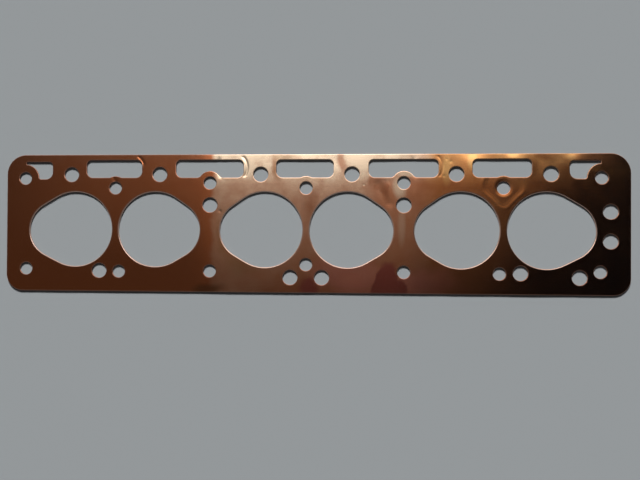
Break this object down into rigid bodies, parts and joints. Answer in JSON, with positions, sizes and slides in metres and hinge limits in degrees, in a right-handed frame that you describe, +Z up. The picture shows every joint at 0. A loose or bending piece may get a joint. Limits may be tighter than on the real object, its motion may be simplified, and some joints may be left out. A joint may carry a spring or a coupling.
{
  "type": "cylinder head gasket",
  "caption": "Flat copper head gasket for an in-line engine: nosed combustion openings in pairs, stud and water holes, and a row of slots along one side.",
  "frame": {"origin": "middle of the sheet's bounding box, on its lower face", "axes": "+X along the engine, towards the end with the extra water holes; +Y across it, towards the side with the slots; +Z up, out of the upper face"},
  "size_m": [0.6944, 0.154, 0.0016],
  "materials": {
    "copper_sheet": "rolled copper sheet, polished bright, dulled and browned in places"
  },
  "bodies": {
    "root": {"gasket_sheet": "copper_sheet"}
  },
  "joints": []
}
